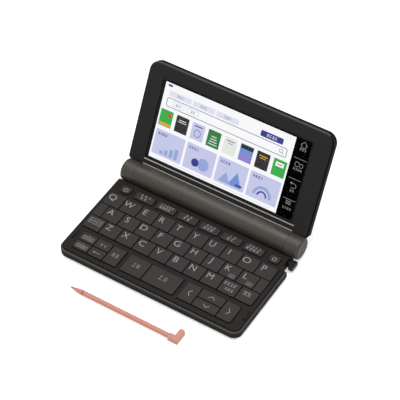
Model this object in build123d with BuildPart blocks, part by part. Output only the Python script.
from build123d import *
import os
from math import cos, radians, sin

os.makedirs("parts", exist_ok=True)

# Electronic dictionary with a hinged lid, in millimetres.
# X runs along the hinge to the right, Y to the rear, Z up. The floor is Z = 0.
# Places on the base count from the hinge axis, so what lies in front of it is negative.
# Places on the lid are u along X, v from the hinge axis up the lid, n out of the screen.

# --- Driving sizes -----------------------------------------------------------------------

# Base
case_width = 148.0
case_reach = 84.8           # hinge axis to the front edge
case_rear = 9.0             # hinge axis to the rear wall
case_corner = 6.5
case_wall = 2.2
case_floor = 1.2
foot_height = 0.5           # under the case
rim_top = 7.0
rim_side = 1.0              # width of the rim beside the deck
rim_front = 1.5
rim_chamfer = 0.5
under_edge = 1.8            # rounding under the case
deck_low = 6.0
deck_top = 7.5
deck_fit = 0.5              # gap all round the deck in its pocket
deck_edge = 0.25
barrel_air = 0.75           # deck's rear edge to the barrel

# Hinge barrel
hinge_z = 9.2
barrel_radius = 8.2
barrel_inset = 0.2          # case side to the knuckle's end
knuckle_share = 0.54        # the knuckle's part of the length left past the cells
knuckle_gap = 0.2
knuckle_round = 1.5
turning_gap = 0.3           # between the barrel and what passes round it
seat_gap = 0.05
seat_toe = 4.6              # how near the axis the seat under the barrel comes
pin_radius = 2.0
pin_share = 0.45            # the pin's part of the barrel's solid end
pin_hold = 0.58             # the pin's part of the knuckle
pin_play = 0.05             # radial, where the barrel's end turns on the pin
pin_fit = 0.02              # radial, where the knuckle holds the pin
pin_end_gap = 0.5           # past the pin's end in the barrel

# Batteries
cell_radius = 7.25
cell_length = 50.5
cell_nub_radius = 2.7
cell_nub = 1.1
cell_play = 0.1
cell_gap = 0.1              # between the two cells
contact_space = 3.0
contact_plate = 0.4
contact_width = 8.0
contact_corner = 1.0
contact_post = 2.4
contact_taper = 12.0
hatch_half_width = 7.0
hatch_margin = 1.4          # how far the hatch passes the cells at each end
hatch_gap = 0.15
hatch_tilt = -55.0          # degrees from +Y, the way the hatch comes off
hatch_rib = 0.25            # grip ribs stand inside the barrel's radius
hatch_ribs = 9
hatch_rib_pitch = 2.2

# Keys
key_columns = 10
key_margin = 4.0            # case side to the letter keys, the mean of both sides
keyboard_shift = -0.8
letters_rear = -22.55       # rear line of the first letter row
key_gap = 0.45
key_top = 8.2
key_low = 5.3
key_corner = 0.75
key_soft = 2.2              # rounded outer corners
key_edge = 0.3
key_play = 0.1              # deck opening past the keys' grid lines
key_travel = 0.5
blank_floor = 0.6           # deck left under the groove round a blank cap
row_gap = 3.45              # third letter row to the lowest group
pad_depth = 16.1
pad_margin = 5.8            # case front to the lowest group
cluster_inset = 8.2         # case side to the lowest group
cluster_gap = 2.9           # between its left and middle parts
cluster_width = 12.75
tall_width = 11.6
back_width = 17.75
arrows_gap = 3.05           # between its middle and right parts
arrows_inset = 9.4          # case side to the lowest group
arrow_side = 11.9
arrow_middle = 19.4
function_rear = -13.0
function_depth = 7.0
function_gap = 2.2
function_near = 3.8         # power key to the first of the six
function_far = 4.1          # last of the six to the home key
function_low = 6.2
function_soft = 1.3
power_inset = 11.7          # case side to its middle
home_inset = 12.6
round_width = 8.8
round_soft = 3.0

# Inside the base
board_lift = 0.9
board_thick = 1.0
board_margin = 1.0          # to the cavity's wall
board_corner = 3.0
rib_width = 2.0
rib_side = 18.5             # case side to a rib's end
rib_inset = 4.0             # end ribs to the cavity's ends
mat_thick = 0.8
dome_radius = 2.2
dome_taper = 8.0
dome_gap = 0.1              # left under a key that is pressed home
screw_shaft = 0.7
screw_head = 1.3
screw_head_deep = 0.8
screw_play = 0.1
screw_fit = 0.02            # radial, where a screw bites its boss
screw_sink = 0.1            # head below the case's underside
screw_skin = 0.45           # deck left above a screw's hole
screw_end_gap = 0.1
screw_side = 16.3           # case side to the two outer screws
screw_inset = 8.0           # case side to the rear screw
recess_length = 1.6
recess_width = 0.4
boss_wall = 0.9
boss_split = 4.7            # height where case boss and deck boss meet
foot_length = 14.0
foot_width = 3.4
foot_side = 24.0            # case side to a foot's middle
foot_inset = 7.2            # case front to the front feet
foot_rear = 7.0
bumper_length = 8.0
bumper_width = 1.6
bumper_inset = 3.7          # case side to the bumper's middle
bumper_front = 16.8         # case front to the bumper's middle
bumper_stand = 1.0
bumper_deep = 0.4
bumper_fit = 0.05
bumper_end_gap = 0.9        # between a bumper's end and its recess's
slot_front = 49.8           # case front to the strap slot's middle
slot_level = 5.1            # its middle above the floor
slot_length = 3.6
slot_height = 1.6
slot_deep = 0.9

# Stylus and its bay
stylus_length = 89.0
stylus_radius = 1.8
tip_radius = 0.75
tip_stand = 3.8
tip_held = 4.0
tip_fit = 0.02
tip_point = 0.9             # length of the tip's taper
tip_blunt = 0.35
nose_length = 5.0
nose_radius = 1.2
ring_place = 10.2
ring_width = 0.7
ring_deep = 0.25
head_width = 4.2            # the cross arm, along the rod
head_half = 1.95            # half the head's thickness
arm_reach = 8.2
stowed_arm = 4.6            # the stowed stylus has a shorter arm
stowed_stand = 1.2          # and stands out of the case's side
heel_length = 8.2
heel_reach = 2.7
heel_slope = 0.6
arm_round = 1.5
head_edge = 0.5
stylus_play = 0.25
bay_middle = -11.2
bay_height = 3.7
bay_skirt = 0.8             # wall in front of the bay
bay_roof = 5.4
bay_deep = 2.0              # free space past the tip
notch_front = -21.0
notch_deep = 4.6
notch_wall = 1.6
loose_left = -48.3
loose_distance = 19.8       # case front to the loose rod's middle line

# Lid
lid_open = 120.0            # degrees from closed
lid_overhang = 0.7          # past the case's front edge when closed
lid_side_past = 0.6         # past the case's sides
lid_face = -0.9             # the bezel's face
lid_back = -7.4
lid_corner = 8.1
lid_wall = 1.2
lid_side_wall = 1.6
lid_back_edge = 1.8
bezel_thick = 1.7
bezel_bevel = 1.1           # width of the bevel round the bezel's face
bezel_drop = 0.5            # and its depth
knuckle_taper = 9.9         # v where the lower corners start to draw in
plate_low = 3.0             # v where the plate ends inside the knuckles
leg_draw = 1.3              # from the knuckle's end in to the plate
leg_drop = 1.5              # where the legs start to widen, inside the barrel's sweep
leg_round = 1.0
shoulder_round = 1.2
pocket_corner = 1.0
pocket_margin = 2.6         # pocket's low edge above the shoulders
window_side_left = 12.9     # lid side to the glass
window_side_right = 14.3
window_low = 13.9
window_top_margin = 10.0    # lid's far edge to the glass
glass_thick = 1.0
glass_sink = 0.05
glass_gap = 0.1
glass_corner = 1.0
window_ledge = 1.3
lcd_thick = 2.4
lcd_gap = 0.05
lcd_frame = 0.9             # how far the module passes the bezel's opening
lcd_corner = 0.8
trim_width = 0.85
trim_deep = 0.4
trim_stand = 0.12
trim_upper = 13.15
trim_lower = 9.05
trim_past_left = 0.2        # past the glass at each end
trim_past_right = 2.2
speaker_width = 8.5
speaker_length = 22.0
speaker_thick = 2.3
speaker_inset = 7.0         # lid side to the speaker's middle
speaker_v = 58.0
grille_slots = 5
grille_pitch = 3.4
grille_width = 1.0
grille_length = 6.0

# Cuts and joins
past = 1.0                  # how far a cut runs past what it opens
merge = 0.1                 # how far a rib or boss reaches into its wall

# --- Places worked out from them -----------------------------------------------------------

half_width = case_width / 2
lid_half = half_width + lid_side_past
lid_length = case_reach + lid_overhang
foot_front = case_reach - foot_inset
loose_middle = -case_reach - loose_distance
bumper_place = half_width - bumper_inset
bumper_middle = -case_reach + bumper_front
slot_middle = -case_reach + slot_front
foot_reach = half_width - foot_side
screw_spread = half_width - screw_side
rib_length = 2 * (half_width - rib_side)
window_left = -lid_half + window_side_left
window_right = lid_half - window_side_right
window_top = lid_length - window_top_margin
trim_left = window_left - trim_past_left
trim_right = window_right + trim_past_right
speaker_u = -lid_half + speaker_inset
barrel_reach = half_width - barrel_inset
bore_half = cell_length + contact_space
past_cells = barrel_reach - bore_half - knuckle_gap
knuckle_length = past_cells * knuckle_share
barrel_half = barrel_reach - knuckle_length - knuckle_gap
barrel_end = barrel_half - bore_half
pin_in_barrel = barrel_end * pin_share
pin_in_knuckle = knuckle_length * pin_hold
sweep_radius = barrel_radius + turning_gap
stow_left = half_width + stowed_stand - stylus_length
lid_lean = radians(lid_open)
front_limit = loose_middle - heel_reach
rear_limit = -lid_length * cos(lid_lean) - lid_back * sin(lid_lean)
hinge_y = -(front_limit + rear_limit) / 2


def base_level(z):
    """A level plane whose origin lies under the hinge axis."""
    return Plane((0, hinge_y, z))


def lid_level(n):
    """A plane parallel to the lid's face, n along its normal from the hinge axis."""
    out = (0, -sin(lid_lean), -cos(lid_lean))
    return Plane((0, hinge_y, hinge_z), x_dir=(1, 0, 0), z_dir=out).offset(n)


def cross_section(x):
    """A plane across the hinge: local x is Y and local y is Z, both from the axis."""
    return Plane((x, hinge_y, hinge_z), x_dir=(0, 1, 0), z_dir=(1, 0, 0))


def bay_section(x):
    """A plane across the stylus bay, with the bay's middle line as its origin."""
    return Plane((x, hinge_y + bay_middle, bay_height), x_dir=(0, 1, 0), z_dir=(1, 0, 0))


def plate(left, right, front, rear, corners=(0, 0, 0, 0), grow=0.0):
    """Adds a plate outline, corner radii in the order front left, front right, rear right, rear left."""
    points = [
        (left - grow, front - grow),
        (right + grow, front - grow),
        (right + grow, rear + grow),
        (left - grow, rear + grow),
    ]
    radii = [radius + grow if radius else 0 for radius in corners]
    with BuildLine() as edge:
        FilletPolyline(*points, radius=radii, close=True)
    make_face(edge.line)


def write(builder, node):
    """Labels a finished piece and writes it to its own file."""
    builder.part.label = node
    export_step(builder.part, f"parts/{node}.step")
    print(node, len(builder.part.solids()), round(builder.part.volume))


# --- Keys: every cap is (left, right, front, rear, corner radii, underside) ------------------

small = key_corner
plain = (small, small, small, small)
key_pitch = (case_width - 2 * key_margin) / key_columns
pad_front = -case_reach + pad_margin
pad_rear = pad_front + pad_depth
row_pitch = (letters_rear - row_gap - pad_rear) / 3
rows_left = keyboard_shift - key_columns * key_pitch / 2
rows_right = rows_left + key_columns * key_pitch
row_lines = [letters_rear - row * row_pitch for row in range(4)]
pad_middle = (pad_rear + pad_front) / 2
function_front = function_rear - function_depth
power_middle = -half_width + power_inset
home_middle = half_width - home_inset
function_left = power_middle + round_width / 2 + function_near
function_right = home_middle - round_width / 2 - function_far
function_pitch = (function_right - function_left + function_gap) / 6
function_width = function_pitch - function_gap
function_first = function_left + function_width / 2
caps = {}
openings = []


def add_cap(node, left, right, front, rear, corners=plain, low=key_low):
    """Notes one key cap by its grid lines."""
    caps.setdefault(node, []).append((left, right, front, rear, corners, low))


def add_lone_cap(node, middle, width, soft):
    """Notes a cap of the function row, which has a deck opening of its own."""
    corners = (soft, soft, small, small)
    box = (middle - width / 2, middle + width / 2, function_front, function_rear, corners)
    add_cap(node, *box, function_low)
    openings.append(box)


add_lone_cap("key_power", power_middle, round_width, round_soft)
for place in range(6):
    add_lone_cap("keys_function", function_first + place * function_pitch, function_width, function_soft)
add_lone_cap("key_home", home_middle, round_width, round_soft)

for row, letters in enumerate(("qwertyuiop", "asdfghjkl")):
    for place, letter in enumerate(letters):
        cap_left = rows_left + (place + row / 2) * key_pitch
        add_cap(f"key_{letter}", cap_left, cap_left + key_pitch, row_lines[row + 1], row_lines[row])

for place, name in enumerate(["symbol", *"zxcvbnm", "space", "delete"]):
    corners = plain
    if name == "symbol":
        corners = (key_soft, small, small, small)
    if name == "delete":
        corners = (small, key_soft, small, small)
    cap_left = rows_left + place * key_pitch
    add_cap(f"key_{name}", cap_left, cap_left + key_pitch, row_lines[3], row_lines[2], corners)

cluster_left = -half_width + cluster_inset
cluster_middle = cluster_left + cluster_width
tall_left = cluster_middle + cluster_width
tall_right = tall_left + tall_width
cluster_soft = (key_soft, small, small, key_soft)
add_cap("keys_cluster", cluster_left, cluster_middle, pad_middle, pad_rear, (small, small, small, key_soft))
add_cap("keys_cluster", cluster_left, cluster_middle, pad_front, pad_middle, (key_soft, small, small, small))
add_cap("keys_cluster", cluster_middle, tall_left, pad_middle, pad_rear)
add_cap("keys_cluster", cluster_middle, tall_left, pad_front, pad_middle)
add_cap("key_sound", tall_left, tall_right, pad_front, pad_rear)
openings.append((cluster_left, tall_right, pad_front, pad_rear, cluster_soft))

arrows_left = half_width - arrows_inset - 2 * arrow_side - arrow_middle
back_left = tall_right + cluster_gap
enter_left = back_left + back_width
enter_right = arrows_left - arrows_gap
add_cap("key_back", back_left, enter_left, pad_front, pad_rear)
add_cap("key_enter", enter_left, enter_right, pad_front, pad_rear)
openings.append((back_left, enter_right, pad_front, pad_rear, plain))

middle_left = arrows_left + arrow_side
middle_right = middle_left + arrow_middle
arrows_right = middle_right + arrow_side
arrows_soft = (small, key_soft, key_soft, small)
add_cap("key_left", arrows_left, middle_left, pad_front, pad_rear)
add_cap("key_up", middle_left, middle_right, pad_middle, pad_rear)
add_cap("key_down", middle_left, middle_right, pad_front, pad_middle)
add_cap("key_right", middle_right, arrows_right, pad_front, pad_rear, arrows_soft)
openings.append((arrows_left, arrows_right, pad_front, pad_rear, arrows_soft))

for node, group in caps.items():
    with BuildPart() as key:
        for left, right, front, rear, corners, low in group:
            with BuildSketch(base_level(low)):
                plate(left, right, front, rear, corners, -key_gap / 2)
            extrude(amount=key_top - low)
        fillet(key.faces().filter_by(Axis.Z).group_by(Axis.Z)[-1].edges(), key_edge)
    write(key, node)

# --- Base: lower case, deck and what they hold ------------------------------------------------

floor_top = foot_height + case_floor
deck_left = -half_width + rim_side
deck_right = half_width - rim_side
deck_front = -case_reach + rim_front
deck_rear = -barrel_radius - barrel_air
deck_corner = case_corner - rim_side
bay_front = bay_middle - stylus_radius - stylus_play - bay_skirt
cavity_side = half_width - case_wall
cavity_front = -case_reach + case_wall + rim_front - rim_side
cavity_corner = case_corner - case_wall
notch_left = half_width - notch_deep
wall_left = notch_left - notch_wall
wall_front = notch_front - notch_wall
board_low = floor_top + board_lift
board_top = board_low + board_thick
row_gap_middle = (row_lines[3] + pad_rear) / 2
screw_places = [
    (-half_width + screw_inset, (deck_rear + bay_front) / 2),
    (-screw_spread, row_gap_middle),
    (0, row_gap_middle),
    (screw_spread, row_gap_middle),
]
bay_collar_left = half_width + stowed_stand - heel_length - stylus_play
bay_left = stow_left - bay_deep

with BuildPart() as base_lower_case:
    with BuildSketch(base_level(foot_height)):
        plate(-half_width, half_width, -case_reach, -case_rear, (case_corner, case_corner, 0, 0))
    extrude(amount=rim_top - foot_height)
    fillet(base_lower_case.faces().sort_by(Axis.Z)[0].edges(), under_edge)
    top_edges = base_lower_case.faces().sort_by(Axis.Z)[-1].edges()
    chamfer(top_edges.sort_by(Axis.Y)[:-1], rim_chamfer)
    # the seat that carries the barrel and runs on under the knuckles
    with BuildSketch(base_level(foot_height)):
        seat_side = half_width - under_edge / 2
        plate(-seat_side, seat_side, -case_rear - under_edge - past, -seat_toe)
    extrude(amount=deck_low - foot_height)
    with BuildSketch(cross_section(-barrel_half - past)):
        Circle(barrel_radius + seat_gap)
    extrude(amount=2 * (barrel_half + past), mode=Mode.SUBTRACT)
    for side in (-1, 1):
        knuckle_clear = barrel_half + knuckle_gap - turning_gap
        with BuildSketch(cross_section(side * knuckle_clear)):
            Circle(sweep_radius)
        extrude(amount=side * (half_width - knuckle_clear), mode=Mode.SUBTRACT)
    # pocket for the deck, open to the rear
    with BuildSketch(base_level(deck_low)):
        plate(deck_left, deck_right, deck_front, 0, (deck_corner, deck_corner, 0, 0))
    extrude(amount=rim_top, mode=Mode.SUBTRACT)
    # cavity for the board, clear of the wall round the notch
    with BuildSketch(base_level(floor_top)):
        rounds = (cavity_corner, cavity_corner, 0, 0)
        plate(-cavity_side, cavity_side, cavity_front, bay_front, rounds)
        with Locations(((wall_left + half_width) / 2, wall_front / 2)):
            Rectangle(half_width - wall_left, -wall_front, mode=Mode.SUBTRACT)
    extrude(amount=deck_low, mode=Mode.SUBTRACT)
    # lower roof over the bay, under the function keys
    with BuildSketch(base_level(bay_roof)):
        plate(-cavity_side, wall_left, bay_front - past, function_rear + 2 * key_play)
    extrude(amount=deck_low, mode=Mode.SUBTRACT)
    # ribs under the board
    with BuildSketch(base_level(floor_top - merge)):
        for rib_y in (bay_front - rib_inset, row_lines[1], row_lines[3], cavity_front + rib_inset):
            with Locations((0, rib_y)):
                Rectangle(rib_length, rib_width)
    extrude(amount=board_lift + merge)
    # screw bosses
    with BuildSketch(base_level(floor_top - merge)):
        with Locations(*screw_places[1:]):
            Circle(screw_shaft + screw_play + boss_wall)
    extrude(amount=boss_split - floor_top + merge)
    with BuildSketch(base_level(0)):
        with Locations(*screw_places):
            Circle(screw_shaft + screw_play)
    extrude(amount=deck_top, mode=Mode.SUBTRACT)
    with BuildSketch(base_level(0)):
        with Locations(*screw_places):
            Circle(screw_head + screw_play)
    extrude(amount=foot_height + screw_head_deep, mode=Mode.SUBTRACT)
    # notch at the right rear corner, for the stylus's head
    with BuildSketch(base_level(0)):
        plate(notch_left, half_width + past, notch_front, 0)
    extrude(amount=deck_top, mode=Mode.SUBTRACT)
    # blind slot for a strap in the right wall
    with BuildSketch(cross_section(half_width - slot_deep)):
        with Locations((slot_middle, slot_level - hinge_z)):
            SlotOverall(slot_length, slot_height)
    extrude(amount=slot_deep + past, mode=Mode.SUBTRACT)
    # the stylus bay, wider at its mouth
    with BuildSketch(bay_section(bay_left)):
        Circle(stylus_radius + stylus_play)
    extrude(amount=half_width - bay_left, mode=Mode.SUBTRACT)
    with BuildSketch(bay_section(bay_collar_left)):
        with Locations(((heel_reach - stylus_radius) / 2, 0)):
            Rectangle(heel_reach + stylus_radius + 2 * stylus_play, 2 * (head_half + stylus_play))
    extrude(amount=half_width - bay_collar_left, mode=Mode.SUBTRACT)
write(base_lower_case, "base_lower_case")

with BuildPart() as keyboard_deck:
    with BuildSketch(base_level(deck_low)):
        rounds = (deck_corner, deck_corner, 0, 0)
        plate(deck_left, deck_right, deck_front, deck_rear + deck_fit, rounds, -deck_fit)
    extrude(amount=deck_top - deck_low)
    chamfer(keyboard_deck.faces().sort_by(Axis.Z)[-1].edges(), deck_edge)
    # bosses for the screws
    with BuildSketch(base_level(boss_split)):
        with Locations(*screw_places[1:]):
            Circle(screw_shaft + boss_wall)
    extrude(amount=deck_low - boss_split + merge)
    # one opening for each group of keys
    with BuildSketch(base_level(deck_low)):
        grow = key_play
        plate(rows_left, rows_right, row_lines[1], row_lines[0], plain, grow)
        plate(rows_left + key_pitch / 2, rows_right - key_pitch / 2, row_lines[3], row_lines[0], plain, grow)
        plate(rows_left, rows_right, row_lines[3], row_lines[2], (key_soft, key_soft, small, small), grow)
        for left, right, front, rear, corners in openings:
            plate(left, right, front, rear, corners, grow)
    extrude(amount=deck_top, mode=Mode.SUBTRACT)
    # a blank half cap at each end of the second row, with a groove round it
    blanks = [
        (rows_left, rows_left + key_pitch / 2, -key_play, -key_play),
        (rows_right - key_pitch / 2, rows_right, key_play, key_play),
    ]
    for left, right, left_shift, right_shift in blanks:
        with BuildSketch(base_level(deck_low + blank_floor)):
            plate(left + left_shift, right + right_shift, row_lines[2] + key_play, row_lines[1] - key_play)
        extrude(amount=deck_top, mode=Mode.SUBTRACT)
        with BuildSketch(base_level(deck_low + blank_floor / 2)):
            plate(left, right, row_lines[2], row_lines[1], plain, -key_gap / 2)
        extrude(amount=key_top - deck_low - blank_floor / 2)
    # notch for the stylus's head
    with BuildSketch(base_level(0)):
        plate(notch_left, half_width + past, notch_front, 0)
    extrude(amount=deck_top + past, mode=Mode.SUBTRACT)
    # recesses for the two bumpers that the closed lid rests on
    with BuildSketch(base_level(deck_top - bumper_deep)):
        with Locations((-bumper_place, bumper_middle), (bumper_place, bumper_middle)):
            SlotOverall(bumper_length, bumper_width, rotation=90)
    extrude(amount=past, mode=Mode.SUBTRACT)
    # pilot holes for the screws, blind
    with BuildSketch(base_level(boss_split)):
        with Locations(*screw_places):
            Circle(screw_shaft)
    extrude(amount=deck_top - boss_split - screw_skin, mode=Mode.SUBTRACT)
write(keyboard_deck, "keyboard_deck")

with BuildPart() as case_screws:
    with BuildSketch(base_level(foot_height + screw_sink)):
        with Locations(*screw_places):
            Circle(screw_head)
    extrude(amount=screw_head_deep - screw_sink)
    with BuildSketch(base_level(foot_height + screw_head_deep)):
        with Locations(*screw_places):
            Circle(screw_shaft - screw_fit)
    extrude(amount=deck_top - foot_height - screw_head_deep - screw_skin - screw_end_gap)
    # cross recess
    with BuildSketch(base_level(foot_height + screw_sink)):
        with Locations(*screw_places):
            Rectangle(recess_length, recess_width)
            Rectangle(recess_width, recess_length)
    extrude(amount=screw_head_deep / 2, mode=Mode.SUBTRACT)
write(case_screws, "case_screws")

with BuildPart() as rubber_pads:
    with BuildSketch(base_level(0)):
        for side in (-1, 1):
            with Locations((side * foot_reach, -foot_front), (side * foot_reach, -foot_rear)):
                SlotOverall(foot_length, foot_width)
    extrude(amount=foot_height)
    with BuildSketch(base_level(deck_top - bumper_deep)):
        with Locations((-bumper_place, bumper_middle), (bumper_place, bumper_middle)):
            SlotOverall(bumper_length - 2 * bumper_end_gap, bumper_width - 2 * bumper_fit, rotation=90)
    extrude(amount=bumper_deep + bumper_stand)
    fillet(rubber_pads.faces().filter_by(Axis.Z).group_by(Axis.Z)[-1].edges(), bumper_width * 0.3)
write(rubber_pads, "rubber_pads")

board_side = cavity_side - board_margin
board_front = cavity_front + board_margin
board_rear = bay_front - board_margin / 2
board_notch_left = wall_left - board_margin / 2
board_notch_front = wall_front - board_margin / 2
boss_clear = screw_shaft + screw_play + boss_wall + turning_gap

with BuildPart() as main_board:
    with BuildSketch(base_level(board_low)):
        plate(-board_side, board_side, board_front, board_rear, (board_corner, board_corner, 0, 0))
        with Locations(((board_notch_left + half_width) / 2, board_notch_front / 2)):
            Rectangle(half_width - board_notch_left, -board_notch_front, mode=Mode.SUBTRACT)
        with Locations(*screw_places[1:]):
            Circle(boss_clear, mode=Mode.SUBTRACT)
    extrude(amount=board_thick)
write(main_board, "main_board")

with BuildPart() as key_mat:
    with BuildSketch(base_level(board_top)):
        plate(-board_side, board_side, board_front, board_rear, (board_corner, board_corner, 0, 0))
        with Locations(((board_notch_left + half_width) / 2, board_notch_front / 2)):
            Rectangle(half_width - board_notch_left, -board_notch_front, mode=Mode.SUBTRACT)
        with Locations(*screw_places[1:]):
            Circle(boss_clear, mode=Mode.SUBTRACT)
    extrude(amount=mat_thick)
    # a dome under the middle of each key
    for group in caps.values():
        for left, right, front, rear, corners, low in group:
            dome_top = low - key_travel - dome_gap
            middle = (left + right) / 2, (front + rear) / 2
            with BuildSketch(base_level(board_top + mat_thick / 2)):
                with Locations(middle):
                    Circle(dome_radius)
            extrude(amount=dome_top - board_top - mat_thick / 2, taper=dome_taper)
write(key_mat, "key_mat")

# --- Hinge barrel, its cells and the hatch over them -------------------------------------------

bore_radius = cell_radius + cell_play
hatch_half = cell_length + hatch_margin


def hatch_section(x):
    """A plane across the barrel, local x along the way the hatch comes off."""
    tilt = radians(hatch_tilt)
    return Plane((x, hinge_y, hinge_z), x_dir=(0, cos(tilt), sin(tilt)), z_dir=(1, 0, 0))


with BuildPart() as battery_barrel:
    with BuildSketch(cross_section(-barrel_half)):
        Circle(barrel_radius)
    extrude(amount=2 * barrel_half)
    with BuildSketch(cross_section(-bore_half)):
        Circle(bore_radius)
    extrude(amount=2 * bore_half, mode=Mode.SUBTRACT)
    with BuildSketch(hatch_section(-hatch_half - hatch_gap)):
        with Locations((barrel_radius, 0)):
            Rectangle(2 * barrel_radius, 2 * (hatch_half_width + hatch_gap))
    extrude(amount=2 * (hatch_half + hatch_gap), mode=Mode.SUBTRACT)
    # bores for the hinge pins
    for side in (-1, 1):
        with BuildSketch(cross_section(side * barrel_half)):
            Circle(pin_radius + pin_play)
        extrude(amount=-side * (pin_in_barrel + pin_end_gap), mode=Mode.SUBTRACT)
write(battery_barrel, "battery_barrel")

with BuildPart() as battery_cover:
    with BuildSketch(hatch_section(-hatch_half)):
        Circle(barrel_radius)
        Circle(bore_radius, mode=Mode.SUBTRACT)
        with Locations((barrel_radius, 0)):
            Rectangle(2 * barrel_radius, 2 * hatch_half_width, mode=Mode.INTERSECT)
    extrude(amount=2 * hatch_half)
    # grip grooves across the middle
    for place in range(hatch_ribs):
        groove_x = (place - (hatch_ribs - 1) / 2) * hatch_rib_pitch
        with BuildSketch(hatch_section(groove_x)):
            Circle(barrel_radius + past)
            Circle(barrel_radius - hatch_rib, mode=Mode.SUBTRACT)
            with Locations((barrel_radius, 0)):
                Rectangle(2 * barrel_radius, hatch_half_width, mode=Mode.INTERSECT)
        extrude(amount=hatch_rib_pitch / 2, mode=Mode.SUBTRACT)
write(battery_cover, "battery_cover")

with BuildPart() as battery_cells:
    for left in (-cell_length, cell_gap):
        can_length = cell_length - cell_nub - cell_gap
        with BuildSketch(cross_section(left)):
            Circle(cell_radius)
        extrude(amount=can_length)
        with BuildSketch(cross_section(left + can_length)):
            Circle(cell_nub_radius)
        extrude(amount=cell_nub)
write(battery_cells, "battery_cells")

with BuildPart() as battery_contacts:
    for side in (-1, 1):
        with BuildSketch(cross_section(side * bore_half)):
            RectangleRounded(contact_width, contact_width, contact_corner)
        extrude(amount=-side * contact_plate)
        with BuildSketch(cross_section(side * (bore_half - contact_plate))):
            Circle(contact_post)
        extrude(amount=-side * (contact_space - contact_plate), taper=contact_taper)
write(battery_contacts, "battery_contacts")

# --- Styluses: one in its bay, one lying in front ------------------------------------------------


def stylus_line(stowed):
    """The plane a stylus is built on: local x along the rod from the tip, local y along its arm."""
    if stowed:
        return Plane((stow_left, hinge_y + bay_middle, bay_height), x_dir=(1, 0, 0), z_dir=(0, 0, -1))
    return Plane((loose_left, hinge_y + loose_middle, head_half), x_dir=(1, 0, 0), z_dir=(0, 0, 1))


def polygon(*points):
    """Adds a face with straight edges."""
    with BuildLine() as edge:
        Polyline(*points, close=True)
    make_face(edge.line)


nose_end = tip_stand + nose_length
ring_end = ring_place + ring_width
head_start = stylus_length - head_width
heel_start = stylus_length - heel_length
tip_end = tip_stand + tip_held

for node, stowed in (("stowed_stylus", True), ("loose_stylus", False)):
    line = stylus_line(stowed)
    rod_axis = Axis(line.origin, line.x_dir)
    arm = stowed_arm if stowed else arm_reach
    with BuildPart() as stylus:
        # head: an arm across the rod's end, with a heel behind it
        with BuildSketch(line.offset(-head_half)):
            polygon(
                (heel_start, -heel_reach + heel_slope),
                (heel_start + heel_slope, -heel_reach),
                (stylus_length, -heel_reach),
                (stylus_length, arm),
                (head_start, arm),
                (head_start, stylus_radius),
                (heel_start, stylus_radius),
            )
        extrude(amount=2 * head_half)
        uprights = stylus.edges().filter_by(Axis.Z)
        tips = [line.from_local_coords((along, arm, 0)) for along in (head_start, stylus_length)]
        fillet([uprights.sort_by_distance(tip)[0] for tip in tips], arm_round)
        heads = stylus.faces().filter_by(Axis.Z).group_by(Axis.Z)
        fillet(heads[0].edges() + heads[-1].edges(), head_edge)
        # rod with its nose and ring groove
        with BuildSketch(line):
            polygon(
                (tip_stand, 0),
                (tip_stand, nose_radius),
                (nose_end, stylus_radius),
                (ring_place, stylus_radius),
                (ring_place, stylus_radius - ring_deep),
                (ring_end, stylus_radius - ring_deep),
                (ring_end, stylus_radius),
                (stylus_length - head_width / 2, stylus_radius),
                (stylus_length - head_width / 2, 0),
            )
        revolve(axis=rod_axis)
        # hole for the tip
        with BuildSketch(Plane(line.origin, x_dir=line.y_dir, z_dir=line.x_dir)):
            Circle(tip_radius + tip_fit)
        extrude(amount=tip_end + tip_fit, mode=Mode.SUBTRACT)
        if stowed:
            with BuildSketch(line):
                polygon((0, 0), (tip_end, 0), (tip_end, tip_radius), (tip_point, tip_radius), (0, tip_blunt))
            revolve(axis=rod_axis)
    write(stylus, node)

line = stylus_line(False)
with BuildPart() as loose_stylus_tip:
    with BuildSketch(line):
        polygon((0, 0), (tip_end, 0), (tip_end, tip_radius), (tip_point, tip_radius), (0, tip_blunt))
    revolve(axis=Axis(line.origin, line.x_dir))
write(loose_stylus_tip, "loose_stylus_tip")

# --- Lid ----------------------------------------------------------------------------------------

bezel_low = lid_face - bezel_thick
pocket_low = lid_back + lid_wall
leg_inner = barrel_half + knuckle_gap
leg_outer = barrel_reach - leg_draw


def lid_outline():
    """Adds the lid's outline, with its lower corners drawn in to the knuckles."""
    points = [
        (-leg_outer, plate_low),
        (leg_outer, plate_low),
        (leg_outer, sweep_radius - leg_drop),
        (lid_half, knuckle_taper),
        (lid_half, lid_length),
        (-lid_half, lid_length),
        (-lid_half, knuckle_taper),
        (-leg_outer, sweep_radius - leg_drop),
    ]
    radii = [0, 0, leg_round, shoulder_round, lid_corner, lid_corner, shoulder_round, leg_round]
    with BuildLine() as edge:
        FilletPolyline(*points, radius=radii, close=True)
    make_face(edge.line)


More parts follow.
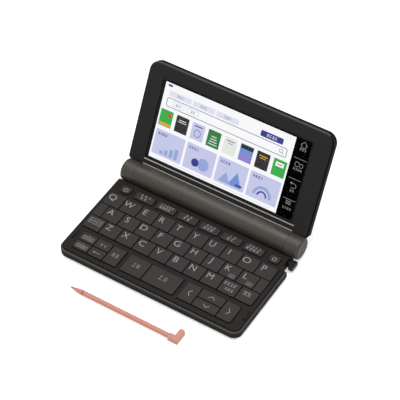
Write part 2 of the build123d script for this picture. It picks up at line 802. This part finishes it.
with BuildPart() as lid_back_cover:
    with BuildSketch(lid_level(lid_back)):
        lid_outline()
    extrude(amount=bezel_low - lid_back)
    back_face = lid_back_cover.faces().sort_by(Axis(lid_level(0).origin, lid_level(0).z_dir))[0]
    fillet(back_face.edges(), lid_back_edge)
    # room for the barrel between the knuckles
    with BuildSketch(cross_section(-leg_inner)):
        Circle(sweep_radius)
    extrude(amount=2 * leg_inner, mode=Mode.SUBTRACT)
    # the pocket behind the screen
    with BuildSketch(lid_level(pocket_low)):
        side = lid_half - lid_side_wall
        inner = lid_corner - lid_side_wall
        low_edge = knuckle_taper + pocket_margin
        rounds = (pocket_corner, pocket_corner, inner, inner)
        plate(-side, side, low_edge, lid_length - lid_side_wall, rounds)
    extrude(amount=bezel_low - pocket_low, mode=Mode.SUBTRACT)
    # a knuckle at each end, with its pin's hole
    for side in (-1, 1):
        with BuildSketch(Plane((0, hinge_y, hinge_z))):
            with BuildLine() as edge:
                FilletPolyline(
                    (side * leg_inner, 0),
                    (side * leg_inner, barrel_radius),
                    (side * barrel_reach, barrel_radius),
                    (side * barrel_reach, 0),
                    radius=[0, 0, knuckle_round, 0],
                    close=True,
                )
            make_face(edge.line)
        revolve(axis=Axis((0, hinge_y, hinge_z), (1, 0, 0)))
    for side in (-1, 1):
        with BuildSketch(cross_section(side * leg_inner)):
            Circle(pin_radius + pin_fit)
        extrude(amount=side * (pin_in_knuckle + pin_fit), mode=Mode.SUBTRACT)
    # slots in front of the speaker
    with BuildSketch(lid_level(lid_back)):
        for slot in range(grille_slots):
            slot_v = speaker_v + (slot - (grille_slots - 1) / 2) * grille_pitch
            with Locations((speaker_u, slot_v)):
                SlotOverall(grille_length, grille_width)
    extrude(amount=lid_wall, mode=Mode.SUBTRACT)
write(lid_back_cover, "lid_back_cover")

with BuildPart() as lid_bezel:
    with BuildSketch(lid_level(bezel_low)):
        lid_outline()
    extrude(amount=bezel_thick)
    # room for the barrel and the knuckles
    with BuildSketch(cross_section(-lid_half)):
        Circle(sweep_radius)
    extrude(amount=2 * lid_half, mode=Mode.SUBTRACT)
    front_face = lid_bezel.faces().sort_by(Axis(lid_level(0).origin, lid_level(0).z_dir))[-1]
    upper = [edge for edge in front_face.edges() if edge.center().Z > hinge_z + sweep_radius]
    chamfer(upper, bezel_bevel, bezel_drop, reference=front_face)
    # the glass's recess and the opening behind it
    with BuildSketch(lid_level(lid_face - glass_sink - glass_thick)):
        plate(window_left, window_right, window_low, window_top, (glass_corner,) * 4, glass_gap)
    extrude(amount=glass_thick + past, mode=Mode.SUBTRACT)
    with BuildSketch(lid_level(bezel_low)):
        inner = window_ledge + glass_corner
        plate(window_left, window_right, window_low, window_top, (inner,) * 4, -window_ledge)
    extrude(amount=bezel_thick, mode=Mode.SUBTRACT)
    # grooves for the two trim strips
    with BuildSketch(lid_level(lid_face - trim_deep)):
        for trim_v in (trim_upper, trim_lower):
            with Locations(((trim_left + trim_right) / 2, trim_v)):
                Rectangle(trim_right - trim_left, trim_width)
    extrude(amount=past, mode=Mode.SUBTRACT)
write(lid_bezel, "lid_bezel")

with BuildPart() as touch_panel:
    with BuildSketch(lid_level(lid_face - glass_sink - glass_thick)):
        plate(window_left, window_right, window_low, window_top, (glass_corner,) * 4)
    extrude(amount=glass_thick)
write(touch_panel, "touch_panel")

with BuildPart() as lcd_module:
    with BuildSketch(lid_level(bezel_low - lcd_gap - lcd_thick)):
        plate(window_left, window_right, window_low, window_top, grow=lcd_frame - window_ledge)
    extrude(amount=lcd_thick)
    fillet(lcd_module.edges().filter_by(Axis(lid_level(0).origin, lid_level(0).z_dir)), lcd_corner)
write(lcd_module, "lcd_module")

with BuildPart() as silver_trims:
    with BuildSketch(lid_level(lid_face - trim_deep)):
        for trim_v in (trim_upper, trim_lower):
            with Locations(((trim_left + trim_right) / 2, trim_v)):
                Rectangle(trim_right - trim_left, trim_width)
    extrude(amount=trim_deep + trim_stand)
write(silver_trims, "silver_trims")

with BuildPart() as speaker:
    with BuildSketch(lid_level(pocket_low)):
        with Locations((speaker_u, speaker_v)):
            SlotOverall(speaker_length, speaker_width, rotation=90)
    extrude(amount=speaker_thick)
write(speaker, "speaker")

with BuildPart() as hinge_pins:
    for side in (-1, 1):
        with BuildSketch(cross_section(side * (barrel_half - pin_in_barrel))):
            Circle(pin_radius)
        extrude(amount=side * (pin_in_barrel + knuckle_gap + pin_in_knuckle))
write(hinge_pins, "hinge_pins")
